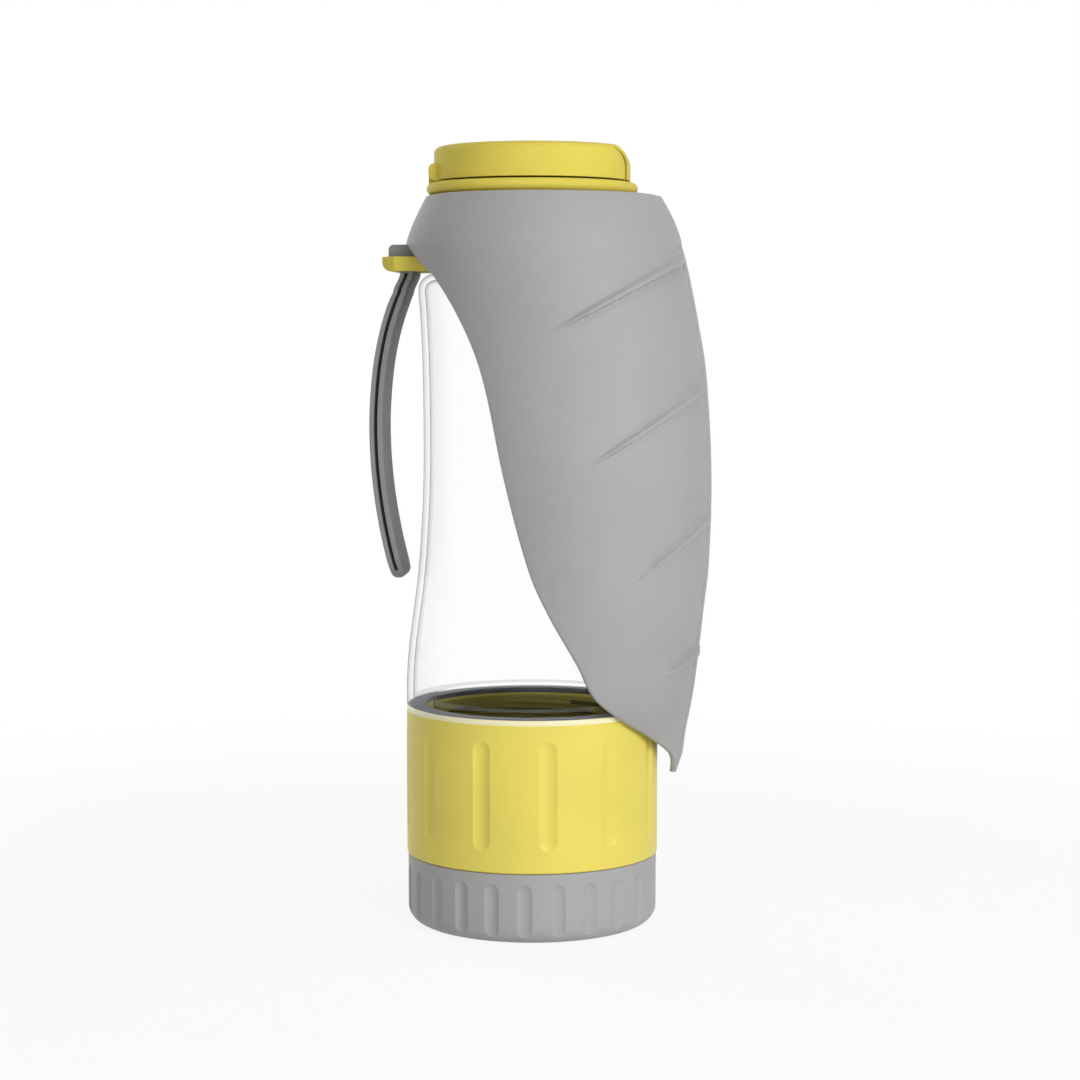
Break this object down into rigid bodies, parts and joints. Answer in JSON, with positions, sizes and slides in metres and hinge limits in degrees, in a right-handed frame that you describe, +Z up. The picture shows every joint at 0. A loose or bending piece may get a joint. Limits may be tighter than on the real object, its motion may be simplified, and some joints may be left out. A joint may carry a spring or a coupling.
{
  "type": "dog travel water bottle",
  "caption": "Travel bottle for a dog: clear water bottle on a food container, flip-lid screw cap, hand strap and a silicone leaf that flips up as a drinking bowl.",
  "frame": {"origin": "on the bottle's axis, at the flat underside of the base cap", "axes": "+Z up along the bottle's axis, +X towards the leaf's midrib, -X towards the strap"},
  "size_m": [0.0945, 0.0768, 0.2164],
  "materials": {
    "yellow_plastic": "fine satin moulded polypropylene",
    "grey_plastic": "satin moulded polypropylene",
    "dark_plastic": "satin moulded plastic",
    "clear_plastic": "clear polished copolyester",
    "grey_silicone": "matte silicone",
    "dark_silicone": "matte silicone",
    "steel": "drawn stainless wire"
  },
  "bodies": {
    "base": {"base_cap": "grey_plastic"},
    "base_gasket": {"base_seal": "dark_silicone"},
    "container": {"food_container": "yellow_plastic"},
    "foot_gasket": {"container_seal": "dark_silicone"},
    "bottle": {"bottle": "clear_plastic"},
    "neck_gasket": {"cap_gasket": "dark_silicone"},
    "cap": {"screw_cap": "yellow_plastic", "flow_insert": "dark_plastic", "insert_valve": "dark_silicone", "lid_pin": "steel", "strap_ring": "yellow_plastic", "strap_head": "grey_silicone", "leaf_collar": "grey_silicone"},
    "lid": {"lid": "yellow_plastic", "lid_plug": "dark_silicone"},
    "strap": {"strap_loop": "grey_silicone"},
    "leaf": {"leaf_spine": "grey_silicone"},
    "lobe_near": {"leaf_lobe_near": "grey_silicone"},
    "lobe_far": {"leaf_lobe_far": "grey_silicone"}
  },
  "joints": [
    {"name": "base_lift", "type": "slide", "parent": "base", "child": "base_gasket", "axis": [0, 0, 1], "range_m": [0, 0.012]},
    {"name": "base_turn", "type": "hinge", "parent": "base_gasket", "child": "container", "pos_m": [0, 0, 0.0196], "axis": [0, 0, 1], "range_deg": [0, 720]},
    {"name": "container_lift", "type": "slide", "parent": "container", "child": "foot_gasket", "axis": [0, 0, 1], "range_m": [0, 0.009]},
    {"name": "container_turn", "type": "hinge", "parent": "foot_gasket", "child": "bottle", "pos_m": [0, 0, 0.0614], "axis": [0, 0, 1], "range_deg": [0, 540]},
    {"name": "cap_lift", "type": "slide", "parent": "bottle", "child": "neck_gasket", "axis": [0, 0, 1], "range_m": [0, 0.012]},
    {"name": "cap_turn", "type": "hinge", "parent": "neck_gasket", "child": "cap", "pos_m": [0, 0, 0.2001], "axis": [0, 0, 1], "range_deg": [0, 720]},
    {"name": "lid_flip", "type": "hinge", "parent": "cap", "child": "lid", "pos_m": [-0.0253, 0, 0.2085], "axis": [0, -1, 0], "range_deg": [0, 97]},
    {"name": "strap_swing", "type": "hinge", "parent": "cap", "child": "strap", "pos_m": [-0.03498, 0, 0.1755], "axis": [0, 1, 0], "range_deg": [0, 90]},
    {"name": "leaf_flip", "type": "hinge", "parent": "cap", "child": "leaf", "pos_m": [0.04106, 0, 0.1876], "axis": [0, -1, 0], "range_deg": [0, 165]},
    {"name": "lobe_near_fold", "type": "hinge", "parent": "leaf", "child": "lobe_near", "pos_m": [0.0413, -0.009, 0.1876], "axis": [-0.1315, 0, 0.9913], "range_deg": [0, 112], "deforming": ["leaf_lobe_near"]},
    {"name": "lobe_far_fold", "type": "hinge", "parent": "leaf", "child": "lobe_far", "pos_m": [0.0413, 0.009, 0.1876], "axis": [0.1315, 0, -0.9913], "range_deg": [0, 112], "deforming": ["leaf_lobe_far"]}
  ],
  "couplings": [
    {"joint": "base_lift", "follows": "base_turn", "m_per_rad": 0.00095493},
    {"joint": "container_lift", "follows": "container_turn", "m_per_rad": 0.00095493},
    {"joint": "cap_lift", "follows": "cap_turn", "m_per_rad": 0.00095493},
    {"joint": "lobe_near_fold", "follows": "leaf_flip", "ratio": 0.67879},
    {"joint": "lobe_far_fold", "follows": "leaf_flip", "ratio": 0.67879}
  ]
}
